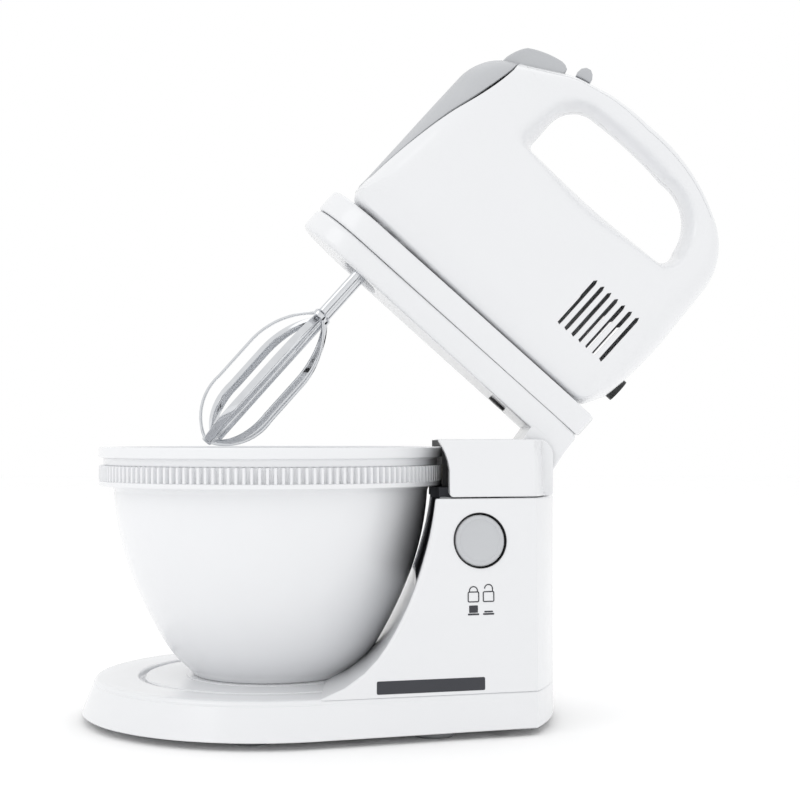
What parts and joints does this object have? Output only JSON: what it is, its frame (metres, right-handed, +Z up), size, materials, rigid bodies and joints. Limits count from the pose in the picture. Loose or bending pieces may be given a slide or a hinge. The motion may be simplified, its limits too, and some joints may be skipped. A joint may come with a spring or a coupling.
{
  "type": "stand mixer",
  "caption": "Kitchen stand mixer: a hand mixer on a tilting arm, shown raised, over a white bowl whose toothed rim a pinion in the stand turns.",
  "frame": {"origin": "centre of the whole object's box, on the surface that the feet stand on", "axes": "+Z up; -X is the bowl's side and +X the column's back; -Y is the side with the lock button"},
  "size_m": [0.4241, 0.25, 0.4444],
  "materials": {
    "white_abs": "injection-moulded ABS, satin gloss",
    "bowl_white": "injection-moulded polypropylene, glossy",
    "grey_trim": "fine-textured grey ABS",
    "light_grey": "satin light grey ABS",
    "dark_grey": "satin dark grey ABS",
    "black_plastic": "matt black polyamide",
    "chromed_wire": "polished and chromed steel",
    "shaft_steel": "turned steel",
    "rubber": "moulded rubber, matt",
    "sintered_bronze": "sintered bronze, oiled",
    "iron_laminations": "stacked iron laminations",
    "copper": "turned copper segments",
    "natural_nylon": "moulded natural nylon",
    "circuit_green": "solder-masked glass epoxy"
  },
  "bodies": {
    "stand": {"stand_housing": "white_abs", "bottom_plate": "white_abs", "bottom_screws": "shaft_steel", "foot_front": "rubber", "foot_mid_near": "rubber", "foot_mid_far": "rubber", "foot_rear_near": "rubber", "foot_rear_far": "rubber", "turntable_bush": "sintered_bronze", "front_panel": "dark_grey", "neck_cover": "white_abs", "gear_housing": "black_plastic", "pinion_bush_lower": "sintered_bronze", "pinion_bush_upper": "sintered_bronze", "hinge_pin": "shaft_steel", "hinge_bracket_near": "shaft_steel", "hinge_bracket_far": "shaft_steel", "lock_cup": "black_plastic"},
    "bowl_set": {"bowl": "bowl_white", "bowl_gear_ring": "bowl_white", "turntable": "white_abs"},
    "pinion": {"bowl_pinion": "natural_nylon", "pinion_shaft": "shaft_steel"},
    "lock": {"lock_button": "light_grey", "lock_stem": "light_grey", "latch_bolt": "light_grey"},
    "head": {"arm_lower": "white_abs", "arm_upper": "white_abs", "hinge_bush_near": "sintered_bronze", "hinge_bush_far": "sintered_bronze", "mixer_shell_near": "white_abs", "mixer_shell_far": "white_abs", "front_trim": "grey_trim", "top_strip": "white_abs", "speed_switch": "black_plastic", "circuit_board": "circuit_green", "motor_stator": "iron_laminations", "motor_bearing_front": "shaft_steel", "motor_bearing_rear": "shaft_steel", "brush_holders": "black_plastic", "gearbox_frame": "shaft_steel", "rear_bearing_mount": "shaft_steel", "spindle_bush_near": "sintered_bronze", "spindle_bush_far": "sintered_bronze", "cord_gland": "black_plastic"},
    "arm_drive": {"arm_drive_spindle": "black_plastic"},
    "ejector": {"eject_lever": "grey_trim", "eject_fork": "grey_trim"},
    "speed_slider": {"speed_knob": "grey_trim"},
    "turbo": {"turbo_button": "grey_trim"},
    "beater_near_set": {"beater_near": "chromed_wire", "worm_wheel_near": "natural_nylon"},
    "beater_far_set": {"beater_far": "chromed_wire", "worm_wheel_far": "natural_nylon"},
    "armature": {"motor_shaft": "shaft_steel", "worm_thread": "shaft_steel", "armature_core": "iron_laminations", "commutator": "copper", "cooling_fan": "black_plastic"}
  },
  "joints": [
    {"name": "head_tilt", "type": "hinge", "parent": "stand", "child": "head", "pos_m": [0.081, 0, 0.164], "axis": [0, 1, 0], "range_deg": [-42, 0]},
    {"name": "bowl_spin", "type": "hinge", "parent": "stand", "child": "bowl_set", "pos_m": [-0.087, 0, 0.1], "axis": [0, 0, 1], "continuous": true},
    {"name": "pinion_spin", "type": "hinge", "parent": "stand", "child": "pinion", "pos_m": [0.039, 0, 0.16], "axis": [0, 0, 1], "continuous": true},
    {"name": "lock_press", "type": "slide", "parent": "stand", "child": "lock", "axis": [-0.2638, 0.9577, -0.1149], "range_m": [0, 0.004], "stiffness_N_per_m": 300, "springref_m": -0.003},
    {"name": "eject_press", "type": "slide", "parent": "head", "child": "ejector", "axis": [-0.6691, 0, -0.7431], "range_m": [0, 0.005], "stiffness_N_per_m": 300, "springref_m": -0.004},
    {"name": "speed_slide", "type": "slide", "parent": "head", "child": "speed_slider", "axis": [0.888, 0, -0.4599], "range_m": [0, 0.012]},
    {"name": "turbo_press", "type": "slide", "parent": "head", "child": "turbo", "axis": [-0.6691, 0, -0.7431], "range_m": [0, 0.0015], "stiffness_N_per_m": 400, "springref_m": -0.002},
    {"name": "beater_near_spin", "type": "hinge", "parent": "head", "child": "beater_near_set", "pos_m": [-0.01976, -0.021, 0.30317], "axis": [0.6691, 0, 0.7431], "continuous": true},
    {"name": "beater_far_spin", "type": "hinge", "parent": "head", "child": "beater_far_set", "pos_m": [-0.01976, 0.021, 0.30317], "axis": [0.6691, 0, 0.7431], "continuous": true},
    {"name": "motor_spin", "type": "hinge", "parent": "head", "child": "armature", "pos_m": [0.06156, 0, 0.31876], "axis": [0.7431, 0, -0.6691], "continuous": true},
    {"name": "arm_drive_spin", "type": "hinge", "parent": "head", "child": "arm_drive", "pos_m": [0.06718, 0, 0.21143], "axis": [0.6691, 0, 0.7431], "continuous": true}
  ],
  "couplings": [
    {"joint": "pinion_spin", "follows": "bowl_spin", "ratio": -8.3333},
    {"joint": "beater_far_spin", "follows": "beater_near_spin", "ratio": -1},
    {"joint": "motor_spin", "follows": "beater_near_spin", "ratio": 13.333}
  ]
}
